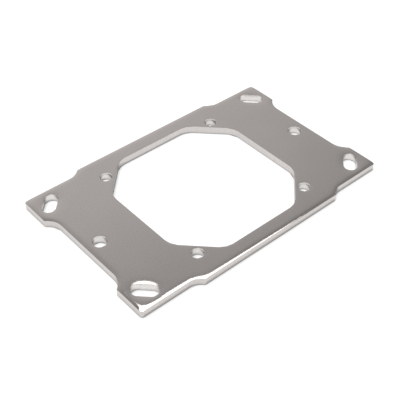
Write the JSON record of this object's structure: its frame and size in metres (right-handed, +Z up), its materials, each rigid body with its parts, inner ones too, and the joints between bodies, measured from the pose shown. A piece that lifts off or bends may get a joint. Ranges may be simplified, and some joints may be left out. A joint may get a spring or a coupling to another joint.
{
  "type": "water block mounting plate",
  "caption": "Flat metal plate that clamps a water block over a processor socket, with a wide window with cut corners, screw holes beside it and angled stud slots in its corner lugs.",
  "frame": {"origin": "centre of the plate on its underside", "axes": "+X along the length, +Y across the width, +Z up out of the face with the rolled rim"},
  "size_m": [0.1054, 0.068, 0.003],
  "materials": {
    "plate_metal": "satin, with softly rolled, polished rims"
  },
  "bodies": {
    "root": {"mounting_plate": "plate_metal"}
  },
  "joints": []
}
